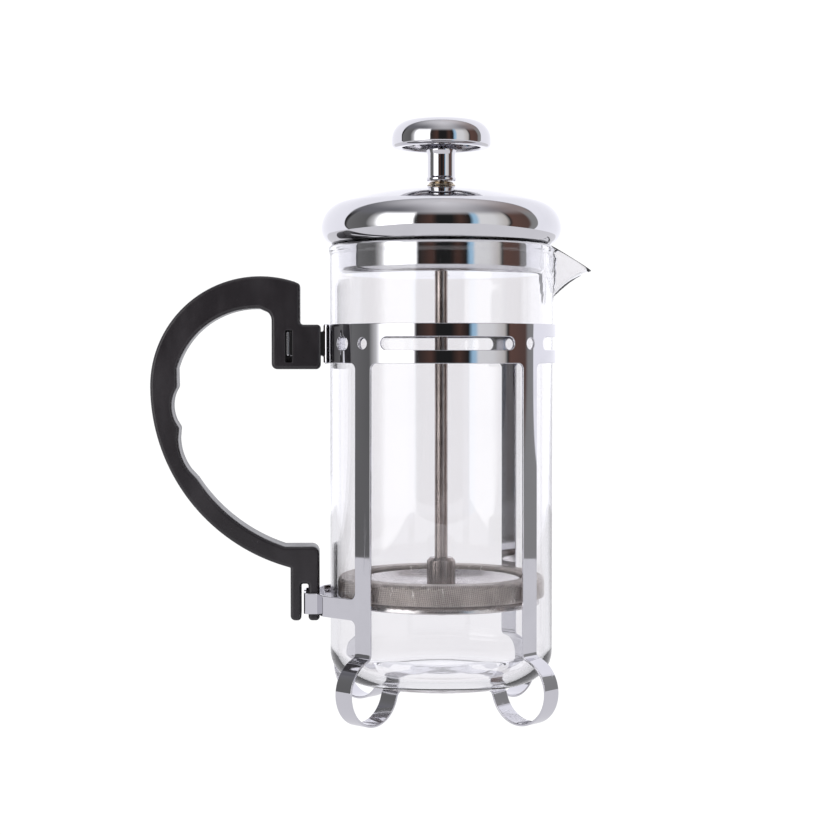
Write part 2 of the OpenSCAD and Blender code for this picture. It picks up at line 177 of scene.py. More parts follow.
# turns a profile of (radius, z) points round the axis; bend(x, y, z) may move the points afterwards
def lathe(name, profile, closed=False, segments=180, angles=None, bend=None):
    angles = angles or [2 * math.pi * k / segments for k in range(segments)]
    turns = len(angles)
    points, normals, rows = [], [], []
    for r, z, nr, nz in profile:
        around = [0] if r < 1e-6 else angles
        rows.append([len(points) + k % len(around) for k in range(turns + 1)])
        if len(around) == turns:
            rows[-1][-1] = len(points)
        for a in around:
            points.append((r * math.cos(a), r * math.sin(a), z))
            outward = (nr * math.cos(a), nr * math.sin(a), nz)
            normals.append(outward if r >= 1e-6 else (0, 0, math.copysign(1, nz)))
    faces = []
    pairs = list(zip(rows, rows[1:] + ([rows[0]] if closed else [])))
    for low, high in pairs:
        for k in range(turns):
            corners = [low[k], low[k + 1], high[k + 1], high[k]]
            faces.append(list(dict.fromkeys(corners)))
    faces = [f for f in faces if len(f) > 2]
    if not bend:
        return meshOf(name, points, faces, normals)
    bent = [bend(*p) for p in points]
    made = meshOf(name, bent, faces, None)
    moved = [math.dist(p, q) > 1e-4 for p, q in zip(points, bent)]
    own = [tuple(v.vector) for v in made.data.vertex_normals]
    mixed = [own[i] if moved[i] else normals[i] for i in range(len(points))]
    made.data.normals_split_custom_set_from_vertices(mixed)
    return made


# fills in an outline's straights, so that no two points are further apart than step
def fine(loop, step):
    points = []
    for a, b in zip(loop, loop[1:] + loop[:1]):
        points.append(a)
        gap = math.dist(a[:2], b[:2])
        if gap < 1e-6:
            points.pop()
            continue
        nx, ny = (b[1] - a[1]) / gap, (a[0] - b[0]) / gap
        count = math.ceil(gap / step)
        for k in range(1, count):
            points.append((a[0] + (b[0] - a[0]) * k / count, a[1] + (b[1] - a[1]) * k / count, nx, ny))
    return points


# which of many points lie in the metal, and how far they are from its edges
def insideAndGap(spots, loops):
    inside = np.zeros(len(spots), bool)
    gap = np.full(len(spots), 1e9)
    for loop in loops:
        ends = np.array([p[:2] for p in loop])
        for (ax, ay), (bx, by) in zip(ends, np.roll(ends, -1, 0)):
            if ay != by:
                crosses = (spots[:, 1] > ay) != (spots[:, 1] > by)
                inside ^= crosses & (spots[:, 0] < ax + (spots[:, 1] - ay) / (by - ay) * (bx - ax))
            way = np.array([bx - ax, by - ay])
            share = np.clip(((spots - (ax, ay)) @ way) / max(way @ way, 1e-12), 0, 1)
            gap = np.minimum(gap, np.hypot(*(spots - (ax, ay) - share[:, None] * way).T))
    return inside, gap


# a sheet cut to an outline with holes, with rounded edges, laid in space by wrap(u, v)
def cutSheet(name, outline, holes, wrap, thickness, edge, step, edgeSteps=3, holeEdge=None):
    loops = [fine(loop, step) for loop in [outline, *holes]]
    arcs = [math.radians(90 - 90 * k / edgeSteps) for k in range(edgeSteps + 1)]
    delta = 0.01
    points, normals, faces = [], [], []

    def place(u, v, height, out=None, angle=0.0):
        middle = Vector(wrap(u, v))
        alongU = Vector(wrap(u + delta, v)) - Vector(wrap(u - delta, v))
        alongV = Vector(wrap(u, v + delta)) - Vector(wrap(u, v - delta))
        up = alongU.cross(alongV).normalized()
        points.append(middle + up * height)
        if out is None:
            normals.append(up * math.copysign(1, height))
        else:
            side = (alongU * out[0] + alongV * out[1]).normalized()
            normals.append(side * math.cos(angle) + up * math.sin(angle))
        return len(points) - 1

    flat, ties, topOf, lowOf = [], [], [], []
    for loop in loops:
        turnIn = edge if loop is loops[0] else holeEdge or edge
        sections = [(turnIn * (1 - math.cos(a)), thickness / 2 + turnIn * (math.sin(a) - 1), a)
                    for a in arcs]
        sections += [(inset, -height, -a) for inset, height, a in reversed(sections)]
        rims = [[place(u - nu * inset, v - nv * inset, height, (nu, nv), angle)
                 for u, v, nu, nv in loop] for inset, height, angle in sections]
        count = len(loop)
        for upper, lower in zip(rims, rims[1:]):
            for k in range(count):
                n = (k + 1) % count
                faces.append([upper[k], lower[k], lower[n], upper[n]])
        base = len(flat)
        flat += [(u - nu * turnIn, v - nv * turnIn) for u, v, nu, nv in loop]
        ties += [(base + k, base + (k + 1) % count) for k in range(count)]
        topOf += rims[0]
        lowOf += rims[-1]
    innerLoops, at = [], 0
    for loop in loops:
        innerLoops.append(flat[at:at + len(loop)])
        at += len(loop)
    corner = np.array(flat).min(0), np.array(flat).max(0)
    grid = np.array([(u, v) for u in np.arange(corner[0][0], corner[1][0], step)
                     for v in np.arange(corner[0][1], corner[1][1], step)])
    inside, gap = insideAndGap(grid, innerLoops)
    for u, v in grid[inside & (gap > step * 0.6)]:
        flat.append((u, v))
        topOf.append(place(u, v, thickness / 2))
        lowOf.append(place(u, v, -thickness / 2))
    spots, _, triangles, origins, _, _ = delaunay_2d_cdt([Vector(p) for p in flat], ties, [], 0, 1e-5)
    centres = np.array([[sum(spots[i][axis] for i in t) / 3 for axis in (0, 1)] for t in triangles])
    inMetal, _ = insideAndGap(centres, innerLoops)
    for triangle, ok in zip(triangles, inMetal):
        if ok:
            a, b, c = [origins[i][0] for i in triangle]
            faces.append([topOf[a], topOf[b], topOf[c]])
            faces.append([lowOf[c], lowOf[b], lowOf[a]])
    return meshOf(name, points, faces, normals)


# ---- shader sockets ----

class Wire:
    # one socket of a node tree; sums on it add Math nodes
    def __init__(self, tree, socket=None):
        self.tree, self.socket = tree, socket

    # any node: its type, its settings, then the values or links of its sockets
    def node(self, kind, settings=None, inputs=None, out=0):
        made = self.tree.nodes.new(kind)
        for name, value in (settings or {}).items():
            if name != "stops":
                setattr(made, name, value)
                continue
            ramp = made.color_ramp.elements
            while len(ramp) < len(value):
                ramp.new(1)
            for element, (place, colour) in zip(ramp, value):
                element.position = place
                element.color = colour
        for name, value in (inputs or {}).items():
            if isinstance(value, Wire):
                self.tree.links.new(value.socket, made.inputs[name])
            else:
                made.inputs[name].default_value = value
        return Wire(self.tree, made.outputs[out] if made.outputs else None)

    # the wires of a node that has several outputs
    def several(self, kind, inputs, names):
        made = self.node(kind, None, inputs).socket.node
        return [Wire(self.tree, made.outputs[name]) for name in names]

    def maths(self, operation, *others):
        return self.node("ShaderNodeMath", {"operation": operation}, dict(enumerate((self, *others))))

    def reflected(self, operation, first):
        return self.node("ShaderNodeMath", {"operation": operation}, {0: first, 1: self})

    # 0 below low, 1 above high, and smooth between them
    def step(self, low, high):
        return self.node("ShaderNodeMapRange", {"interpolation_type": "SMOOTHSTEP"},
                         {"Value": self, "From Min": low, "From Max": high})

    # colour a where this is 0 and colour b where it is 1
    def mix(self, a, b):
        return self.node("ShaderNodeMix", {"data_type": "RGBA"}, {0: self, 6: a, 7: b}, 2)

    def __add__(self, other):
        return self.maths("ADD", other)

    def __radd__(self, other):
        return self.reflected("ADD", other)

    def __sub__(self, other):
        return self.maths("SUBTRACT", other)

    def __rsub__(self, other):
        return self.reflected("SUBTRACT", other)

    def __mul__(self, other):
        return self.maths("MULTIPLY", other)

    def __rmul__(self, other):
        return self.reflected("MULTIPLY", other)

    def __truediv__(self, other):
        return self.maths("DIVIDE", other)

    def __rtruediv__(self, other):
        return self.reflected("DIVIDE", other)


def grey(value, warm=0.0):
    return (value * (1 + warm), value, value * (1 - warm), 1)


# a material from its plain values and a function that returns what varies over the surface
def makeMaterial(name, values, paint):
    material = bpy.data.materials.new(name)
    material.use_nodes = True
    tree = material.node_tree
    shader = tree.nodes["Principled BSDF"]
    for socket, value in values.items():
        shader.inputs[socket].default_value = value
    for socket, wire in paint(Wire(tree)).items():
        tree.links.new(wire.socket, shader.inputs[socket])
    return material


# where a point is on the piece, in metres
def placeOn(start):
    return start.node("ShaderNodeTexCoord", out=3)


def stretched(start, place, scale):
    return start.node("ShaderNodeVectorMath", {"operation": "MULTIPLY"}, {0: place, 1: scale})


def cloud(start, place, scale, detail=3.0, roughness=0.5):
    return start.node("ShaderNodeTexNoise", None,
                      {"Vector": place, "Scale": scale, "Detail": detail, "Roughness": roughness})


def bumped(start, height, strength, distance):
    return start.node("ShaderNodeBump", None, {"Strength": strength, "Distance": distance, "Height": height})


chrome = {"scratches": 900, "smudges": 60, "waves": 22}


# polished chrome plate: faint smudges and hairlines, and a slow waver in its reflections
def paintChrome(tint, dull, waver):
    def paint(start):
        place = placeOn(start)
        smudge = cloud(start, place, chrome["smudges"], 5, 0.6).step(0.45, 0.72)
        hair = cloud(start, stretched(start, place, (chrome["scratches"], 300, 40)), 1, 2).step(0.60, 0.68)
        wave = cloud(start, place, chrome["waves"], 1)
        return {
            "Base Color": (smudge * 0.6).mix(tint, tuple(c * 0.93 for c in tint[:3]) + (1,)),
            "Roughness": dull + smudge * 0.05 + hair * 0.06,
            "Normal": bumped(start, wave + hair * 0.002, 1.0, waver),
        }
    return paint


# drawn or turned steel: streaks along the stretch that is given
def paintSteel(light, dark, dull, stretch, depth=0.00002):
    def paint(start):
        place = placeOn(start)
        streak = cloud(start, stretched(start, place, stretch), 1, 4, 0.6)
        patch = cloud(start, place, 90, 3).step(0.35, 0.7)
        return {
            "Base Color": (streak.step(0.3, 0.7) * 0.6 + patch * 0.4).mix(dark, light),
            "Roughness": dull + streak * 0.14,
            "Normal": bumped(start, streak, 0.5, depth),
        }
    return paint


# spun steel: fine rings round the axis
def paintSpun(light, dark, dull):
    def paint(start):
        place = placeOn(start)
        x, y = start.several("ShaderNodeSeparateXYZ", {0: place}, "XY")
        radius = (x * x + y * y).maths("SQRT")
        rings = start.node("ShaderNodeTexNoise", {"noise_dimensions": "1D"},
                           {"W": radius * 2600, "Scale": 1.0, "Detail": 3.0})
        patch = cloud(start, place, 70, 4, 0.6).step(0.38, 0.68)
        return {
            "Base Color": (rings * 0.5 + patch * 0.5).mix(dark, light),
            "Roughness": dull + rings * 0.12 + patch * 0.05,
            "Normal": bumped(start, rings, 0.35, 0.00002),
        }
    return paint


meshWeave = {"pitch": 0.6 * mm, "ringRadius": 32 * mm, "lean": 0.15, "weft": 0.6}


# woven wire: a fine basket pattern that follows the ring, light on the wires' crowns with painted shade
# between the wires, and bright rubbed wires
def paintMesh(start):
    place = placeOn(start)
    x, y, z = start.several("ShaderNodeSeparateXYZ", {0: place}, "XYZ")
    around = y.maths("ARCTAN2", x) * meshWeave["ringRadius"]
    out = (x * x + y * y).maths("SQRT")
    turn, lean = 2 * math.pi / meshWeave["pitch"], meshWeave["lean"]
    warp = ((around + z * lean) * turn).maths("SINE")
    weft = ((z + out - around * lean) * turn).maths("SINE")
    weaveHeightAndShade = warp.maths("MAXIMUM", weft * meshWeave["weft"]) * 0.5 + 0.5
    streak = cloud(start, stretched(start, place, (900, 900, 120)), 1, 4, 0.7)
    rubbed = streak.step(0.56, 0.66)
    patch = cloud(start, place, 120, 4).step(0.35, 0.65)
    # painted shade: the colour runs very dark where the weave dips between the wires and light on their
    # crowns, mixed with random tone patches
    body = (weaveHeightAndShade * 0.75 + patch * 0.25).mix((0.13, 0.105, 0.095, 1), (0.62, 0.55, 0.51, 1))
    return {
        "Base Color": (rubbed * 0.7).mix(body, (0.78, 0.74, 0.70, 1)),
        "Roughness": 0.42 - rubbed * 0.2,
        "Normal": bumped(start, weaveHeightAndShade + streak * 0.8, 1.0, 0.00016),
    }


# blown glass: slow waves in the wall and the faintest film
def paintGlass(start):
    place = placeOn(start)
    wave = cloud(start, stretched(start, place, (14, 14, 5)), 1, 2)
    film = cloud(start, place, 35, 4).step(0.5, 0.75)
    return {
        "Base Color": film.mix((0.985, 0.985, 0.99, 1), (0.972, 0.972, 0.98, 1)),
        "Normal": bumped(start, wave, 1.0, 0.00035),
    }


# moulded plastic: fine grain, with specks of dust and dull rubbed patches
def paintPlastic(start):
    place = placeOn(start)
    grain = cloud(start, place, 2600, 2)
    rub = cloud(start, stretched(start, place, (60, 60, 25)), 1, 4, 0.6).step(0.4, 0.7)
    speck = start.node("ShaderNodeTexVoronoi", {"feature": "F1"}, {"Vector": place, "Scale": 330.0})
    dust = 1 - speck.step(0.05, 0.11)
    dust = dust * cloud(start, place, 130, 1).step(0.62, 0.68)
    body = rub.mix((0.0135, 0.0115, 0.0135, 1), (0.024, 0.021, 0.024, 1))
    return {
        "Base Color": (dust * 0.5).mix(body, (0.30, 0.29, 0.30, 1)),
        "Roughness": 0.25 + rub * 0.12 + grain * 0.08,
        "Normal": bumped(start, grain, 0.5, 0.00004),
    }


metal = {"Metallic": 1.0}
finishes = {
    "chrome_frame": makeMaterial("chromeFrame", metal, paintChrome((0.64, 0.635, 0.67, 1), 0.02, 0.00025)),
    "chrome_lid": makeMaterial("chromeLid", metal, paintChrome((0.66, 0.655, 0.68, 1), 0.02, 0.00012)),
    "bush_metal": makeMaterial("bushMetal", metal, paintSteel((0.80, 0.70, 0.55, 1), (0.50, 0.42, 0.32, 1),
                                                              0.12, (200, 200, 1500))),
    "steel": makeMaterial("drawnSteel", metal, paintSteel((0.58, 0.51, 0.48, 1), (0.22, 0.185, 0.175, 1),
                                                          0.18, (1300, 1300, 25))),
    "bright_steel": makeMaterial("spunSteel", metal, paintSpun((0.82, 0.79, 0.79, 1), (0.50, 0.47, 0.47, 1),
                                                               0.16)),
    "steel_mesh": makeMaterial("wovenMesh", metal, paintMesh),
    "glass": makeMaterial("clearGlass", {"Transmission Weight": 1.0, "IOR": 1.47, "Roughness": 0.0},
                          paintGlass),
    "black_plastic": makeMaterial("blackPlastic", {"IOR": 1.5}, paintPlastic),
}


# gives a piece its finish, its body and the nodes that it stands for
def settle(piece, body, slot, *nodes):
    piece.data.materials.append(finishes[slot])
    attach(piece, body)
    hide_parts(*nodes)
    return piece


print("materials made:", len(finishes))


# ---- the glass ----

glass = {
    "radius": 35, "wall": 2, "floor": 3, "heel": 9.5, "bead": 0.3,
    "punt": 22, "puntDepth": 0.9,
    "spoutAngle": 19, "spoutDepth": 17, "spoutDrop": 7.6, "spoutRoot": 0.25, "spoutPeak": 1.25,
    "spoutPinch": 0.15, "spoutFall": 1.6,
}
glassLow, glassHigh, _ = spanOf("beaker")
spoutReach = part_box("beaker")[1].x / mm - glass["radius"] - glass["bead"]


# draws the wall out into the spout near +X
def pullSpout(x, y, z):
    height = (z - glassHigh + glass["spoutDepth"]) / glass["spoutDepth"]
    radius = math.hypot(x, y)
    if height <= 0 or radius < glass["radius"] - 4:
        return x, y, z
    angle = math.degrees(math.atan2(y, x))
    half = glass["spoutAngle"] * (glass["spoutRoot"] + (1 - glass["spoutRoot"]) * height)
    if abs(angle) >= half:
        return x, y, z
    near = (0.5 + 0.5 * math.cos(math.pi * angle / half)) ** glass["spoutPeak"]
    eased = height * min(1, 0.4 + height * 3)
    out = 1 + spoutReach * eased * near / radius
    narrow = 1 - glass["spoutPinch"] * near * height
    return x * out, y * out * narrow, z - glass["spoutDrop"] * height ** glass["spoutFall"] * near


def makeGlass():
    r, top, low = glass["radius"], glassHigh, glassLow
    inner, beadR = r - glass["wall"], r + glass["bead"]
    lip = 0.98
    corners = [
        (0, low + glass["puntDepth"]), (glass["punt"] - 2.5, low + glass["puntDepth"], 3),
        (glass["punt"], low, 3),
        (r, low, glass["heel"]), (r, top - 3, 4), (beadR, top - 1.8, 1), (beadR, top, lip),
        (beadR - 2, top, lip), (beadR - 2, top - 1.8, 1), (inner, top - 3, 4),
        (inner, low + glass["floor"], glass["heel"] - glass["wall"]), (0, low + glass["floor"]),
    ]
    profile = rounded(corners, closed=False, stepTurn=6)
    dense = []
    for a, b in zip(profile, profile[1:]):  # more rows where the spout is drawn out
        dense.append(a)
        gap = abs(b[1] - a[1])
        if gap > 20:
            for k in range(1, 40):
                share = k / 40
                dense.append(tuple(p + (q - p) * share for p, q in zip(a, b)))
    dense.append(profile[-1])
    angles = [math.radians(d) for d in np.concatenate([np.arange(0, 24, 1.0), np.arange(24, 336, 2.4),
                                                       np.arange(336, 360, 1.0)])]
    piece = lathe("glassBeaker", dense, angles=angles, bend=pullSpout)
    return settle(piece, "beaker", "glass", "beaker")


makeGlass()
print("glass made")


# ---- the chromed cage: band, four legs with looped feet, and the two lower arms, cut from one sheet ----

cage = {
    "thickness": 0.7, "edge": 0.2, "legWidth": 6.5, "legFillet": 2, "flatBelow": 60,
    "slotHeight": 4, "slotHalfAngle": 34, "shortSlot": 6.5, "shortSlotAngle": 151, "hole": 1.75,
    "bend": 1.6, "earY": 4.5, "earHeight": 7.7, "earLength": 11.7, "hook": 1.7, "fold": 0.55,
    "footCentre": 34, "footRise": 10.561, "ankle": 1.8, "instep": 2, "strapEnd": 3.3, "strapGap": 0.15,
    "armLow": 32, "armHeight": 6.5, "armStraight": 17, "armFold": 0.9,
    "prongX": -38.9, "forkX": -43, "hookY": 7.5, "hookEndY": 0.8,
}
bandLow, bandHigh, bandOut = spanOf("band")
sheetHalf = cage["thickness"] / 2
bandR = bandOut - sheetHalf
halfLeg = cage["legWidth"] / 2
legU = [bandR * math.radians(a) for a in (45, 135)]

# the band from above: round the glass, out at the end, along the ear and into its hook
bendTurn = math.degrees(math.acos((cage["earY"] + cage["bend"]) / (bandR + cage["bend"])))
earStraight = cage["earLength"] - sheetHalf - cage["fold"]
bandLength, bandAt = bentLine(bandR, 0, 90, [
    (bandR, 90 + bendTurn), (cage["bend"], -bendTurn), earStraight,
    (cage["fold"], -90), cage["hook"] - cage["fold"]])
earU = bandR * math.radians(90 + bendTurn) + cage["bend"] * math.radians(bendTurn)

# a leg from the side: down, out over the ankle, round the foot, and in again under the glass
footZ = spanOf("leg_front_left")[0] + cage["footRise"]
footR = footZ - sheetHalf
strapZ = glassLow - sheetHalf - cage["strapGap"]
ankleIn = bandR + cage["ankle"] - cage["footCentre"]
ankleUp = math.sqrt((footR + cage["ankle"]) ** 2 - ankleIn ** 2)
ankleTurn = math.degrees(math.atan2(ankleUp, ankleIn))
instepTurn = math.degrees(math.asin((footZ + cage["instep"] - strapZ) / (footR + cage["instep"])))
instepX = cage["footCentre"] - (footR + cage["instep"]) * math.cos(math.radians(instepTurn))
legStraight = bandLow - footZ - ankleUp
legLength, legAt = bentLine(bandR, bandLow, -90, [
    legStraight, (cage["ankle"], ankleTurn), (footR, -(ankleTurn + 180 - instepTurn)),
    (cage["instep"], 90 - instepTurn), instepX - cage["strapEnd"]])


# a place seen from above, turned into the frame of the back left leg
def toLeg(x, y):
    return (y - x) * math.sqrt(0.5), -(x + y) * math.sqrt(0.5)


# a lower arm from above: on in the leg's plane, to the handle, past its prong and into its fork
armCorners = [
    (bandR, 0, 0), (bandR, cage["armStraight"], cage["armFold"]),
    (*toLeg(cage["prongX"], cage["hookY"]), cage["armFold"]),
    (*toLeg(cage["forkX"], cage["hookY"]), cage["armFold"]),
    (*toLeg(cage["forkX"], cage["hookEndY"]), 0)]
armLength, armAt = bentLine(bandR, 0, 90, runsPast(armCorners))


# u runs round the band from +X, v up; below the band v goes down a leg
def wrapCage(u, v):
    side = -1 if u < 0 else 1
    u = abs(u)
    if v >= bandLow:
        x, y, _ = bandAt(u)
        return x, side * y, v
    leg = legU[0] if u < (legU[0] + legU[1]) / 2 else legU[1]
    across = u - leg
    r, z, heading = legAt(bandLow - v)
    flat = min(1, max(0, (bandLow - v) / (bandLow - cage["flatBelow"])))
    flat = flat * flat * (3 - 2 * flat)
    turn = across / bandR
    sideways = bandR * math.sin(turn) * (1 - flat) + across * flat
    inwards = bandR * (1 - math.cos(turn)) * (1 - flat)
    if abs(across) > halfLeg + 1 and flat > 0.999:
        x, y, _ = armAt(across)
        r, sideways = r + x - bandR, y
    r -= inwards
    angle = leg / bandR
    return (r * math.cos(angle) - sideways * math.sin(angle),
            side * (r * math.sin(angle) + sideways * math.cos(angle)), z)


# a slot with round ends, or a round hole where half is the radius
def slotAt(u, v, half, radius):
    angles = [math.radians(a) for a in range(0, 360, 12)]
    points = []
    for a in reversed(angles):
        shift = half - radius if math.cos(a) > 1e-9 else radius - half
        points.append((u + shift + radius * math.cos(a), v + radius * math.sin(a),
                       -math.cos(a), -math.sin(a)))
    return points


def makeCage():
    fillet, low = cage["legFillet"], bandLow
    foot = bandLow - legLength
    armLow, armHigh = cage["armLow"], cage["armLow"] + cage["armHeight"]
    armEnd = legU[1] + armLength
    middle = (bandLow + bandHigh) / 2
    earLow, earHigh = middle - cage["earHeight"] / 2, middle + cage["earHeight"] / 2
    half = [
        (legU[0] - halfLeg, low, fillet), (legU[0] - halfLeg, foot, 0.5),
        (legU[0] + halfLeg, foot, 0.5), (legU[0] + halfLeg, low, fillet),
        (legU[1] - halfLeg, low, fillet), (legU[1] - halfLeg, foot, 0.5),
        (legU[1] + halfLeg, foot, 0.5), (legU[1] + halfLeg, armLow, fillet),
        (armEnd, armLow, 0.6), (armEnd, armHigh, 0.6),
        (legU[1] + halfLeg, armHigh, fillet), (legU[1] + halfLeg, low, fillet),
        (earU + 0.3, low, 0.5), (earU + 0.3, earLow, 0.5), (bandLength, earLow, 0.5),
        (bandLength, earHigh, 0.5), (earU + 0.3, earHigh, 0.5), (earU + 0.3, bandHigh, 0.5)]
    outline = rounded(half + [(-c[0], c[1], c[2]) for c in reversed(half)], stepTurn=9)
    longHalf = bandR * math.radians(cage["slotHalfAngle"])
    quarter = bandR * math.pi / 2
    holes = [slotAt(u, middle, longHalf, cage["slotHeight"] / 2) for u in (-quarter, 0, quarter)]
    short = bandR * math.radians(cage["shortSlotAngle"])
    holes += [slotAt(u, middle, cage["shortSlot"] / 2, cage["slotHeight"] / 2) for u in (-short, short)]
    holes += [slotAt(s * u, middle, cage["hole"], cage["hole"]) for s in (-1, 1) for u in legU]
    piece = cutSheet("frameCage", outline, holes, wrapCage, cage["thickness"], cage["edge"], 0.9)
    return settle(piece, "frame", "chrome_frame", "band",
                  "leg_front_left", "leg_back_left", "leg_front_right", "leg_back_right")


makeCage()
print("cage made")


# ---- the disc and rivet that hold the legs together under the glass ----

base = {"disc": 10, "discThickness": 0.7, "rivet": 2, "headOut": 4.8, "headRise": 0.6}


def makeBase():
    low, high, _ = spanOf("base_disc")
    half, z = base["discThickness"] / 2, (low + high) / 2
    middle = rounded([(base["rivet"] + half, z), (base["disc"] - half, z)], False)
    disc = lathe("baseDisc", roundSheet(middle, base["discThickness"]), closed=True, segments=96)
    settle(disc, "frame", "chrome_frame", "base_disc")
    tailLow, headHigh, _ = spanOf("base_rivet")
    seat = headHigh - base["headRise"]
    corners = [(0, tailLow), (1.7, tailLow, 0.5), (base["rivet"], low, 0.3), (base["rivet"], seat, 0.05),
               (base["headOut"], seat, 0.1), (base["headOut"] - 0.4, headHigh - 0.1, 0.3), (0, headHigh)]
    rivet = lathe("baseRivet", rounded(corners, False), segments=64)
    settle(rivet, "frame", "chrome_frame", "base_rivet")


makeBase()


# ---- the handle ----

handle = {
    "thickness": 13.5, "edge": 1.1, "corner": 1.5, "grip": 5.9, "gripZ": 103,
    "topR": 34.2, "lowR": 58.7, "neck": 8.9, "block": 15.3, "blockLow": 108.3, "blockTop": 122.2,
    "toe": 9.1, "toeInset": 0.5, "toeLow": 29.8, "toeTop": 53, "forkTop": 41.3, "fork": 2.2, "prong": 3.5,
    "windowX": -11, "windowZ": 110.4, "window": (2.1, 10), "windowEdge": 0.3, "web": 8,
    "cuspTurn": 213, "cuspMid": (-43.9, -12.9), "cuspTop": (-44.5, -0.1), "sags": (2.2, 2), "cuspR": 1.2,
    "roof": (-19.9, -1.5, 25.7), "elbow": 3.5, "elbowRise": 20.4, "throatStep": 1.6,
}
handleLow, handleHigh = [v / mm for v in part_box("handle")]
handleFace = handleHigh.x  # the block's face next to the glass


def handleOutline():
    h = handle
    outer = handleLow.x - handleFace
    topX, lowX, z = outer + h["topR"], outer + h["lowR"], h["gripZ"]
    lowIn = h["lowR"] - h["grip"]
    neckX = -h["block"] + h["neck"]
    neckTurn = math.degrees(math.acos((neckX - topX) / h["topR"]))
    neckTop = z + h["topR"] * math.sin(math.radians(neckTurn))
    toeX = -h["toeInset"] - h["toe"]
    toeTurn = 360 - math.degrees(math.acos((toeX - lowX) / h["lowR"]))
    toeHeel = z + h["lowR"] * math.sin(math.radians(toeTurn))
    throatTurn = 360 - math.degrees(math.acos((toeX - h["throatStep"] - lowX) / lowIn))
    cuspTurn = math.radians(h["cuspTurn"])
    cuspLow = (lowX + lowIn * math.cos(cuspTurn), z + lowIn * math.sin(cuspTurn))
    cuspMid, cuspTop = [(x, z + up) for x, up in (h["cuspMid"], h["cuspTop"])]
    forkRight = -h["toeInset"] - h["prong"]
    forkLeft = forkRight - h["fork"]
    corner, small, elbow = h["corner"], h["cuspR"], h["elbow"]
    upper = [p[:2] for p in arc(topX, z, h["topR"], neckTurn + 3, 180, 3)]
    lower = [p[:2] for p in arc(lowX, z, h["lowR"], 182, toeTurn - 2, 2)]
    throat = [p[:2] for p in arc(lowX, z, lowIn, throatTurn, h["cuspTurn"] + 3, 2)] + [(*cuspLow, small)]
    scallops = []
    for start, end, sag in ((cuspLow, cuspMid, h["sags"][0]), (cuspMid, cuspTop, h["sags"][1])):
        scallops += [p[:2] for p in bulge(start, end, sag)[3:-3]] + [(*end, small)]
    roofX, roofUp, roofR = h["roof"]
    roof = [p[:2] for p in arc(roofX, z + roofUp, roofR, 164, 88, 3)]
    bend = [p[:2] for p in arc(-h["block"] - elbow, z + h["elbowRise"], elbow, 50, 0, 8)]
    return rounded(
        [(neckX, neckTop - 0.2, small)] + upper + lower + [(toeX, toeHeel, 0.4), (toeX, h["toeLow"], corner),
         (forkLeft, h["toeLow"], small), (forkLeft, h["forkTop"], 0.6), (forkRight, h["forkTop"], 0.6),
         (forkRight, h["toeLow"], small), (-h["toeInset"], h["toeLow"], small),
         (-h["toeInset"], h["toeTop"], corner * 1.6)] + throat + scallops + roof + bend
        + [(-h["block"], h["blockLow"], corner * 1.2), (0, h["blockLow"], corner),
           (0, h["blockTop"], corner * 0.8), (neckX, h["blockTop"], 1.0)], stepTurn=12)


def makeHandle():
    h = handle
    wide, tall = h["window"]
    left, low = h["windowX"], h["windowZ"]
    window = rounded([(left, low, 0.3), (left, low + tall, 0.3), (left + wide, low + tall, 0.3),
                      (left + wide, low, 0.3)])
    piece = cutSheet("loopHandle", handleOutline(), [window], lambda u, v: (u + handleFace, 0, v),
                     h["thickness"], h["edge"], 2.0, 5, h["windowEdge"])
    web = rounded([(left - 0.2, low - 0.2, 0.1), (left + wide + 0.2, low - 0.2, 0.1),
                   (left + wide + 0.2, low + tall + 0.2, 0.1), (left - 0.2, low + tall + 0.2, 0.1)])
    inner = cutSheet("handleWeb", web, [], lambda u, v: (u + handleFace, 0, v), h["web"], 0.05, 1.5, 1)
    settle(piece, "frame", "black_plastic", "handle")
    inner.data.materials.append(finishes["black_plastic"])
    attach(inner, "frame")


makeHandle()
print("handle made")


# ---- the lid ----

lid = {
    "thickness": 0.7, "edgeR": 37.7, "crown": 103.2, "crownDrop": 90, "curl": 5.5, "curlTurn": 70,
    "recess": 11.6, "recessDepth": 0.8, "shank": 3,
    "skirt": 32.4, "skirtThickness": 0.5, "skirtRound": 2.3, "flange": 33.8,
    "bush": 4.4, "nut": 5.5,
}
domeLow = spanOf("lid_dome")[0]
domeZ = domeLow + lid["curl"] * math.sin(math.radians(lid["curlTurn"]))
crownZ = domeZ - lid["crownDrop"]
shoulder = ((lid["crown"] ** 2 - lid["edgeR"] ** 2 - lid["crownDrop"] ** 2)
            / (2 * (lid["crown"] - lid["edgeR"])))
shoulderTurn = math.degrees(math.atan2(lid["crownDrop"], lid["edgeR"] - shoulder))
recessZ = crownZ + math.sqrt(lid["crown"] ** 2 - lid["recess"] ** 2) - lid["recessDepth"]
rodR = spanOf("plunger_rod")[2]


def makeDome():
    half = lid["thickness"] / 2
    flat = recessZ - half
    crownStart = 13.4
    crownTurn = math.degrees(math.acos(crownStart / (lid["crown"] - half)))
    firstZ = crownZ + math.sqrt((lid["crown"] - half) ** 2 - crownStart ** 2)
    middle = rounded([(lid["shank"] + 0.4, flat), (lid["recess"] - 0.7, flat, 0.8),
                      (lid["recess"] + 0.6, firstZ + 0.2, 0.8), (crownStart - 0.05, firstZ)], False, 8)[:-1]
    middle += arc(0, crownZ, lid["crown"] - half, crownTurn, shoulderTurn, 0.6)
    middle += arc(lid["edgeR"] - shoulder, domeZ, shoulder - half, shoulderTurn, 0, 3)[1:]
    middle += arc(lid["edgeR"] - lid["curl"], domeZ, lid["curl"] - half, 0, -lid["curlTurn"], 3)[1:]
    # the arcs run outwards and down, so their normals point into the lid
    piece = lathe("lidDome", roundSheet(middle, lid["thickness"]), closed=True, segments=240)
    settle(piece, "lid", "chrome_lid", "lid_dome")


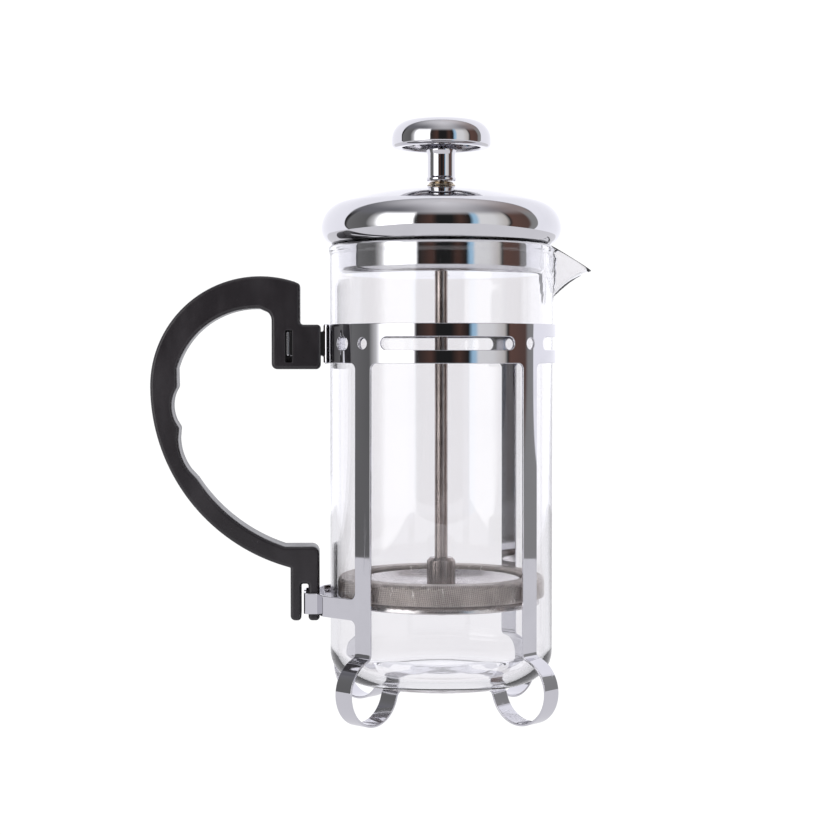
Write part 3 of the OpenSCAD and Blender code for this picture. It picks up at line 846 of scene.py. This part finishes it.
def makeInsert():
    t = lid["skirtThickness"]
    half = t / 2
    low, high, _ = spanOf("lid_insert")
    wall = lid["skirt"] - half
    middle = rounded([(rodR + 0.6 + half, low + half), (wall, low + half, lid["skirtRound"] - half),
                      (wall, high - half, 0.4), (lid["flange"] - half, high - half)], False, 6)
    piece = lathe("lidInsert", roundSheet(middle, t), closed=True, segments=240)
    settle(piece, "lid", "chrome_lid", "lid_insert")


def makeBush():
    low, high, _ = spanOf("lid_bush")
    bore, out, neck = rodR + 0.08, lid["bush"], lid["bush"] - 0.5
    corners = [(bore, low, 0.1), (lid["shank"], low, 0.2), (lid["shank"], recessZ, 0.1), (neck, recessZ, 0.1),
               (neck, recessZ + 1.2, 0.3), (out, recessZ + 1.8, 0.3), (out, high - 1, 0.6),
               (out - 0.9, high, 0.3), (bore, high, 0.15)]
    settle(lathe("lidBush", rounded(corners), closed=True, segments=96), "lid", "bush_metal", "lid_bush")


# a hexagon nut with rounded corners, standing along the axis
def makeNut(name, node, across, bore, body, slot):
    low, high, _ = spanOf(node)
    corners = [(across * math.cos(math.radians(a)), across * math.sin(math.radians(a)), 0.3)
               for a in range(0, 360, 60)]
    hole = [(x, y, -nx, -ny) for x, y, nx, ny in reversed(arc(0, 0, bore, 0, 350, 10))]
    middle = (low + high) / 2
    piece = cutSheet(name, rounded(corners), [hole], lambda u, v: (u, v, middle), high - low, 0.3, 1.5)
    settle(piece, body, slot, node)


makeDome()
makeInsert()
makeBush()
makeNut("bushNut", "bush_nut", lid["nut"], lid["shank"], "lid", "bush_metal")
print("lid made")


# ---- the plunger ----

knob = {
    "radius": 15.55, "crown": 64.5, "drop": 6.7, "thickness": 0.8, "roll": 1.0, "rimDrop": 9.4,
    "mouth": 12.3, "stem": 4.4,
}
plunger = {
    "hub": 4.5, "plateThickness": 0.6, "dish": 25.6, "dishFloor": 16, "dishRise": 12,
    "dishTurn": 42, "dishHoles": (6, 2.2, 11),
    "lowerPlate": 31, "lowerEdge": 1.5, "lowerHoles": (8, 4, 18),
    "meshThickness": 0.3, "fold": 26.2, "ring": 32.6, "nut": 5,
    "pleats": 150, "pleatDepth": 0.16, "springWire": 0.32, "springTurns": 150,
}


def makeKnob():
    top, half = spanOf("knob_cap")[1], knob["thickness"] / 2
    wideZ, centreZ, rimZ = top - knob["drop"], top - knob["crown"], top - knob["rimDrop"]
    drop, wide = wideZ - centreZ, knob["radius"]
    shoulderR = (knob["crown"] ** 2 - wide ** 2 - drop ** 2) / (2 * (knob["crown"] - wide))
    turn = math.degrees(math.atan2(drop, wide - shoulderR))
    roll = knob["roll"]
    # both sides of the sheet from the axis out: the top and round the rim, then back underneath
    over = arc(0, centreZ, knob["crown"] - half, 90, turn, 0.8)
    over += arc(knob["radius"] - shoulderR, wideZ, shoulderR - half, turn, 0, 4)[1:]
    over += arc(knob["radius"] - half - roll, rimZ + half + roll, roll, 0, -90, 9)
    over += [(knob["mouth"] + half, rimZ + half, 0, 1)]
    loop = roundSheet(over, knob["thickness"])
    count = len(over)
    under, rim, above = loop[:count], loop[count:count + 5], loop[count + 5:2 * count + 5]
    profile = [(max(0, r), z, nr, nz) for r, z, nr, nz in under + rim + above]
    settle(lathe("knobCap", profile, segments=180), "plunger", "chrome_lid", "knob_cap")

    low, high, _ = spanOf("knob_stem")
    r = knob["stem"]
    corners = [(rodR, low, 0.05), (r, low, 0.2), (r + 0.25, low + 0.4, 0.2), (r + 0.25, low + 0.9, 0.2),
               (r - 0.1, low + 1.5, 0.3), (r - 0.1, low + 8.2, 2.0), (r + 0.3, low + 9.6, 2.0),
               (r + 0.3, high, 0.2), (rodR, high, 0.05)]
    piece = lathe("knobStem", rounded(corners), closed=True, segments=96)
    settle(piece, "plunger", "chrome_lid", "knob_stem")


def makeRod():
    low, high, _ = spanOf("plunger_rod")
    corners = [(0, low), (rodR, low, 0.4), (rodR, high, 0.4), (0, high)]
    settle(lathe("plungerRod", rounded(corners, False), segments=64), "plunger", "steel", "plunger_rod")
    low, high, _ = spanOf("hub_sleeve")
    r = plunger["hub"]
    corners = [(rodR, low, 0.05), (r, low, 0.1), (r, high - 1, 0.5), (r - 0.9, high, 0.35),
               (rodR + 0.3, high, 0.1), (rodR, high - 0.3, 0.1)]
    piece = lathe("hubSleeve", rounded(corners), closed=True, segments=96)
    settle(piece, "plunger", "steel", "hub_sleeve")


def holeRing(count, radius, out):
    turns = [2 * math.pi * k / count for k in range(count)]
    return [[(out * math.cos(t) + x, out * math.sin(t) + y, -nx, -ny)
             for x, y, nx, ny in reversed(arc(0, 0, radius, 0, 348, 12))] for t in turns]


# a pressed plate with drain holes: a round blank whose radius follows a line
def pressedPlate(name, node, blank, lineAt, holes, slot):
    def wrap(u, v):
        reach = math.hypot(u, v)
        r, z, _ = lineAt(reach)
        if reach < 1e-6:
            return 0, 0, z
        return u / reach * r, v / reach * r, z

    outline = arc(0, 0, blank, 0, 358, 2)
    bore = [(x, y, -nx, -ny) for x, y, nx, ny in reversed(arc(0, 0, rodR + 0.02, 0, 345, 15))]
    piece = cutSheet(name, outline, [bore] + holeRing(*holes), wrap, plunger["plateThickness"], 0.2, 1.1)
    settle(piece, "plunger", slot, node)


def makeFilter():
    p = plunger
    low, high, _ = spanOf("upper_plate")
    half = p["plateThickness"] / 2
    rise = p["dishTurn"]
    # the dish: flat floor, a curve up, a straight flank and a rim that lies out again
    riseZ = p["dishRise"] * (1 - math.cos(math.radians(rise)))
    rimZ, rimR = high - half, p["dish"] - half
    flank = (rimZ - low - half - riseZ) / math.sin(math.radians(rise))
    length, dishAt = bentLine(0, low + half, 0, [
        p["dishFloor"], (p["dishRise"], rise), max(0.1, flank - 0.45), (1.0, -rise), 0.1])
    ends = dishAt(length)
    blank = length + rimR - ends[0]
    pressedPlate("filterDish", "upper_plate", blank, dishAt, p["dishHoles"], "bright_steel")

    low, high, _ = spanOf("lower_plate")
    edgeIn = p["lowerPlate"] - half
    length, plateAt = bentLine(0, high - half, 0, [edgeIn - p["lowerEdge"], (p["lowerEdge"], -90),
                                                   high - low - half - p["lowerEdge"] - 0.02])
    pressedPlate("lowerPlate", "lower_plate", length, plateAt, p["lowerHoles"], "bright_steel")
    makeNut("filterNut", "filter_nut", p["nut"], rodR + 0.02, "plunger", "bright_steel")


meshLow, meshHigh, _ = spanOf("mesh_screen")


# gathers the cloth of wires in small uneven pleats, deepest low on the ring's outside
def pleat(x, y, z):
    p = plunger
    r = math.hypot(x, y)
    if r < p["ring"] - 1.6:
        return x, y, z
    angle = math.atan2(y, x)
    height = (z - meshLow) / (meshHigh - meshLow)
    spot = Vector((math.cos(angle) * 9, math.sin(angle) * 9, height * 0.6))
    lean = noise.noise(spot) * 0.05 * height
    local = 0.35 + 0.65 * abs(noise.noise(spot * 1.7 + Vector((5, 2, 1))))
    fold = abs(math.sin((angle + lean) * p["pleats"] / 2)) - 0.5
    fade = min(1, max(0, (0.75 - height) / 0.45)) * min(1, height * 5)
    inward = p["pleatDepth"] * (0.5 - fold * local * 1.2) * fade + 0.05 * noise.noise(spot * 3)
    share = (r - max(0, inward)) / r
    return x * share, y * share, z


def makeMesh():
    p = plunger
    low, high = meshLow, meshHigh
    t = p["meshThickness"]
    half = t / 2
    out, fold = p["ring"] - half, p["fold"] + half
    corners = [(rodR + half, low + half), (out, low + half, 0.7), (out, high - half, 1.4),
               (fold, high - half, 0.8), (fold, low + t + 0.8)]
    middle = rounded(corners, False, 10)
    rows = []
    for a, b in zip(middle, middle[1:]):
        rows.append(a)
        if math.dist(a[:2], b[:2]) > 3 and a[0] > p["ring"] - 1:
            rows += [tuple(m + (n - m) * k / 8 for m, n in zip(a, b)) for k in range(1, 8)]
    rows.append(middle[-1])
    piece = lathe("meshScreen", roundSheet(rows, t, 4), closed=True, segments=900, bend=pleat)
    settle(piece, "plunger", "steel_mesh", "mesh_screen")


# a close-wound spring bent into a ring inside the folded edge
def makeSpring():
    p = plunger
    low, high, out = spanOf("edge_spring")
    wire = p["springWire"]
    coil = (high - low) / 2 - wire
    ringR, z = out - coil - wire, (low + high) / 2
    around, sides = p["springTurns"] * 12, 6

    def centreAt(k):
        a = 2 * math.pi * k / around
        b = a * p["springTurns"]
        r = ringR + coil * math.cos(b)
        return Vector((r * math.cos(a), r * math.sin(a), z + coil * math.sin(b)))

    points, normals, faces = [], [], []
    for k in range(around):
        middle = centreAt(k)
        way = (centreAt(k + 1) - centreAt(k - 1)).normalized()
        a = 2 * math.pi * k / around
        outward = (middle - Vector((ringR * math.cos(a), ringR * math.sin(a), z))).normalized()
        sideways = way.cross(outward).normalized()
        for s in range(sides):
            t = 2 * math.pi * s / sides
            normal = outward * math.cos(t) + sideways * math.sin(t)
            points.append(middle + normal * wire)
            normals.append(normal)
            n, after = (s + 1) % sides, (k + 1) % around
            faces.append([k * sides + s, k * sides + n, after * sides + n, after * sides + s])
    settle(meshOf("edgeSpring", points, faces, normals), "plunger", "steel", "edge_spring")


makeKnob()
makeRod()
makeFilter()
makeMesh()
makeSpring()
print("plunger made")


# ---- the studio ----

studio = {
    "cameraDistance": 587, "cameraHeight": 113.5, "cameraAngle": -3.7, "cameraDip": 2.0, "cameraPan": 0.73,
    "lens": 80.2, "floor": (0.49, 0.71), "floorBevel": 0.12, "floorInMetal": (0.83, 0.825, 0.86, 1),
    "floorGlow": 1.06, "skyGlow": 1.05, "backdropTilt": 6.03,
    "backdrop": (1.13, 1.13, 1.20, 1), "seenThroughGlass": 0.92, "throughGlass": (0.90, 0.885, 0.91, 1),
}

# what stands round the object at its own height, by degrees to the right of the camera's direction
roomRound = [
    (-180, grey(1.1)), (-112, grey(0.30)), (-107, grey(0.03)), (-103, grey(0.04)), (-100, grey(0.20)),
    (-76, grey(0.15)), (-67, grey(0.75)), (-60, grey(2.4)), (-28, grey(2.4)), (-25, grey(0.03)),
    (-10, (0.10, 0.055, 0.045, 1)), (-4, grey(0.02)), (10, grey(0.02)), (18, (0.09, 0.05, 0.04, 1)),
    (27, grey(0.02)), (31, (0.42, 0.68, 0.90, 1)), (34, (0.5, 0.72, 0.9, 1)), (37, grey(0.95)),
    (52, grey(0.9)), (65, grey(0.62, 0.05)),
    (69, grey(0.03)), (72, (0.15, 0.085, 0.07, 1)), (92, (0.12, 0.075, 0.065, 1)), (96, grey(0.30)),
    (108, grey(0.34)), (111, grey(0.01)), (126, grey(0.01)), (129, grey(1.1)), (180, grey(1.1)),
]


# whether a ray is seen directly, and whether it has only passed glass and met no mirror
def raysOf(start):
    seen, passed, bounces = start.several("ShaderNodeLightPath", None,
                                          ("Is Camera Ray", "Is Transmission Ray", "Glossy Depth"))
    return seen, passed * (1 - bounces.maths("GREATER_THAN", 0.5))


def makeWorld():
    world = bpy.data.worlds.new("studio")
    bpy.context.scene.world = world
    world.use_nodes = True
    tree = world.node_tree
    tree.nodes.clear()
    start = Wire(tree)
    way = start.node("ShaderNodeTexCoord")
    x, y, z = start.several("ShaderNodeSeparateXYZ", {0: way}, "XYZ")
    turn = math.radians(studio["cameraAngle"])
    toCamera = x * math.sin(turn) - y * math.cos(turn)
    toRight = x * math.cos(turn) + y * math.sin(turn)
    azimuth = toRight.maths("ARCTAN2", toCamera) * math.degrees(1)
    elevation = z.maths("ARCSINE") * math.degrees(1)
    stops = [(d / 360 + 0.5, colour) for d, colour in roomRound]
    low = start.node("ShaderNodeValToRGB", {"stops": stops}, {0: azimuth / 360 + 0.5})
    glow = azimuth.step(-60, 10) * (1 - azimuth.step(10, 90))
    above = (glow * 0.9).mix((0.20, 0.20, 0.22, 1), (0.66, 0.65, 0.67, 1))
    above = azimuth.step(40, 100).mix(above, (0.36, 0.30, 0.29, 1))
    above = (elevation.step(45, 85) * 0.8).mix(above, (0.92, 0.91, 0.94, 1))
    room = elevation.step(24, 44).mix(low, above)
    tilt = math.radians(studio["backdropTilt"])
    behind = 0.0 - toCamera * math.cos(tilt) - z * math.sin(tilt)
    edge = behind.step(0.235, 0.25)
    gap = edge * (1 - behind.step(0.262, 0.275)) * elevation.step(25, 40)
    light = edge.mix(room, studio["backdrop"])
    light = (gap * 0.75).mix(light, grey(0.12))
    seen, clear = raysOf(start)
    light = (clear * studio["seenThroughGlass"]).mix(light, studio["throughGlass"])
    light = seen.mix(light, grey(studio["skyGlow"]))
    background = start.node("ShaderNodeBackground", None, {"Color": light})
    start.node("ShaderNodeOutputWorld", None, {"Surface": background})


def makeFloor():
    wide, deep = studio["floor"]
    bevel = studio["floorBevel"]
    corners = rounded([(-wide, -deep, bevel), (wide, -deep, bevel),
                       (wide, deep, bevel), (-wide, deep, bevel)])
    mesh = bpy.data.meshes.new("floor")
    mesh.from_pydata([(x, y, -0.0002) for x, y, _, _ in corners], [], [list(range(len(corners)))])
    floor = bpy.data.objects.new("floor", mesh)
    bpy.context.scene.collection.objects.link(floor)
    material = bpy.data.materials.new("paleFloor")
    material.use_nodes = True
    tree = material.node_tree
    tree.nodes.clear()
    start = Wire(tree)
    seen, clear = raysOf(start)
    colour = clear.mix(studio["floorInMetal"], studio["throughGlass"])
    colour = seen.mix(colour, grey(studio["floorGlow"]))
    light = start.node("ShaderNodeEmission", None, {"Color": colour})
    start.node("ShaderNodeOutputMaterial", None, {"Surface": light})
    mesh.materials.append(material)


def makeCamera():
    scene = bpy.context.scene
    data = bpy.data.cameras.new("camera")
    data.lens = studio["lens"]
    data.clip_start, data.clip_end = 0.01, 10
    camera = bpy.data.objects.new("camera", data)
    scene.collection.objects.link(camera)
    turn = math.radians(studio["cameraAngle"])
    distance = studio["cameraDistance"] * mm
    camera.location = (math.sin(turn) * distance, -math.cos(turn) * distance, studio["cameraHeight"] * mm)
    camera.rotation_euler = (math.radians(90 - studio["cameraDip"]), 0,
                             turn + math.radians(studio["cameraPan"]))
    scene.camera = camera


def makeLight(name, degrees, height, size, power):
    data = bpy.data.lights.new(name, "AREA")
    data.shape, data.size, data.energy = "DISK", size, power
    light = bpy.data.objects.new(name, data)
    bpy.context.scene.collection.objects.link(light)
    turn = math.radians(degrees)
    spot = Vector((math.sin(turn), -math.cos(turn), height))
    light.location = spot
    light.rotation_euler = (Vector((0, 0, 0.1)) - spot).to_track_quat("-Z", "Y").to_euler()
    light.visible_glossy = False
    light.visible_camera = False
    light.visible_transmission = False


makeWorld()
makeFloor()
makeCamera()
makeLight("keyLight", -40, 0.9, 0.6, 9)
makeLight("fillLight", 45, 0.5, 0.6, 4)

scene = bpy.context.scene
scene.view_settings.view_transform = "Standard"
scene.cycles.use_denoising = True
scene.cycles.max_bounces = 24
scene.cycles.transmission_bounces = 20
scene.cycles.glossy_bounces = 8
print("studio made")
